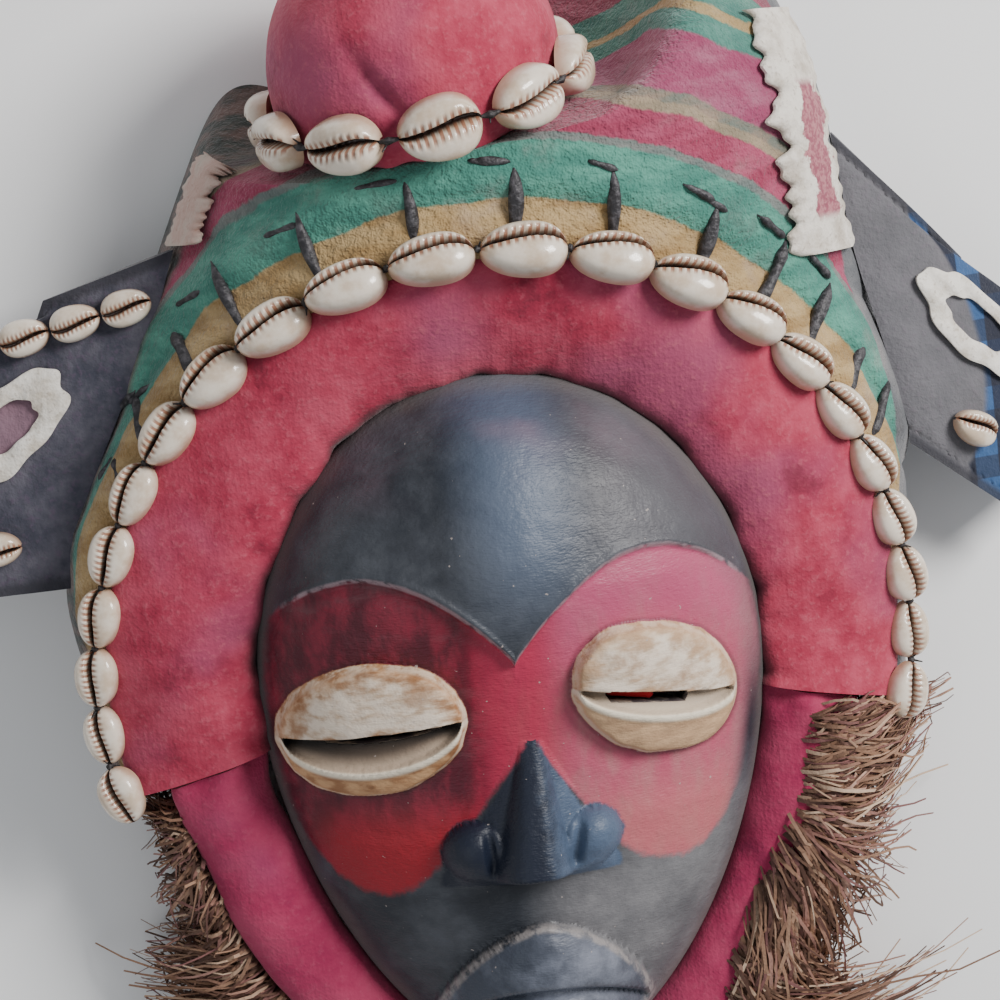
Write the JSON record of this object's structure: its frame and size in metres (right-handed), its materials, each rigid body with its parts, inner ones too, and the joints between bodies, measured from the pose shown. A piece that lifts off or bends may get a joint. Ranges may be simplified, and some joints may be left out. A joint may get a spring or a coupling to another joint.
{
  "type": "african mask",
  "caption": "Carved wooden face in a padded red border and striped cloth hood, with cowrie shell trim, stuffed topknot, cloth ears and a raffia beard, lying on its back",
  "frame": {"origin": "middle of the underside of the mask's bounding box, as it lies on its back", "axes": "+Z out of the face, up from the floor; +Y towards the crown; +X to the right as one looks at the face"},
  "size_m": [0.3728, 0.427, 0.1046],
  "materials": {
    "painted_wood": "worn satin dark paint",
    "red_cloth": "faded dyed cotton",
    "striped_cloth": "faded striped cotton",
    "grey_cloth": "worn cotton",
    "cream_hide": "worn hide",
    "cowrie_shell": "natural gloss",
    "raffia": "dry fibre"
  },
  "bodies": {
    "root": {"chin_band": "red_cloth", "ear_cowrie_left_1": "cowrie_shell", "ear_cowrie_left_2": "cowrie_shell", "ear_cowrie_left_3": "cowrie_shell", "ear_cowrie_left_4": "cowrie_shell", "ear_cowrie_right_1": "cowrie_shell", "ear_left": "grey_cloth", "ear_loop_left": "cream_hide", "ear_loop_right": "cream_hide", "ear_right": "grey_cloth", "knot_cowrie_01": "cowrie_shell", "knot_cowrie_02": "cowrie_shell", "knot_cowrie_03": "cowrie_shell", "knot_cowrie_04": "cowrie_shell", "knot_cowrie_05": "cowrie_shell", "knot_cowrie_06": "cowrie_shell", "knot_cowrie_07": "cowrie_shell", "knot_cowrie_08": "cowrie_shell", "knot_cowrie_09": "cowrie_shell", "knot_cowrie_10": "cowrie_shell", "raffia_beard": "raffia", "red_face_band": "red_cloth", "rim_cowrie_01": "cowrie_shell", "rim_cowrie_02": "cowrie_shell", "rim_cowrie_03": "cowrie_shell", "rim_cowrie_04": "cowrie_shell", "rim_cowrie_05": "cowrie_shell", "rim_cowrie_06": "cowrie_shell", "rim_cowrie_07": "cowrie_shell", "rim_cowrie_08": "cowrie_shell", "rim_cowrie_09": "cowrie_shell", "rim_cowrie_10": "cowrie_shell", "rim_cowrie_11": "cowrie_shell", "rim_cowrie_12": "cowrie_shell", "rim_cowrie_13": "cowrie_shell", "rim_cowrie_14": "cowrie_shell", "rim_cowrie_15": "cowrie_shell", "rim_cowrie_16": "cowrie_shell", "rim_cowrie_17": "cowrie_shell", "rim_cowrie_18": "cowrie_shell", "rim_cowrie_19": "cowrie_shell", "rim_cowrie_20": "cowrie_shell", "rim_cowrie_21": "cowrie_shell", "rim_cowrie_22": "cowrie_shell", "shoulder_hide_left": "cream_hide", "shoulder_hide_right": "cream_hide", "striped_cap": "striped_cloth", "topknot": "red_cloth", "wooden_face": "painted_wood"}
  },
  "joints": []
}
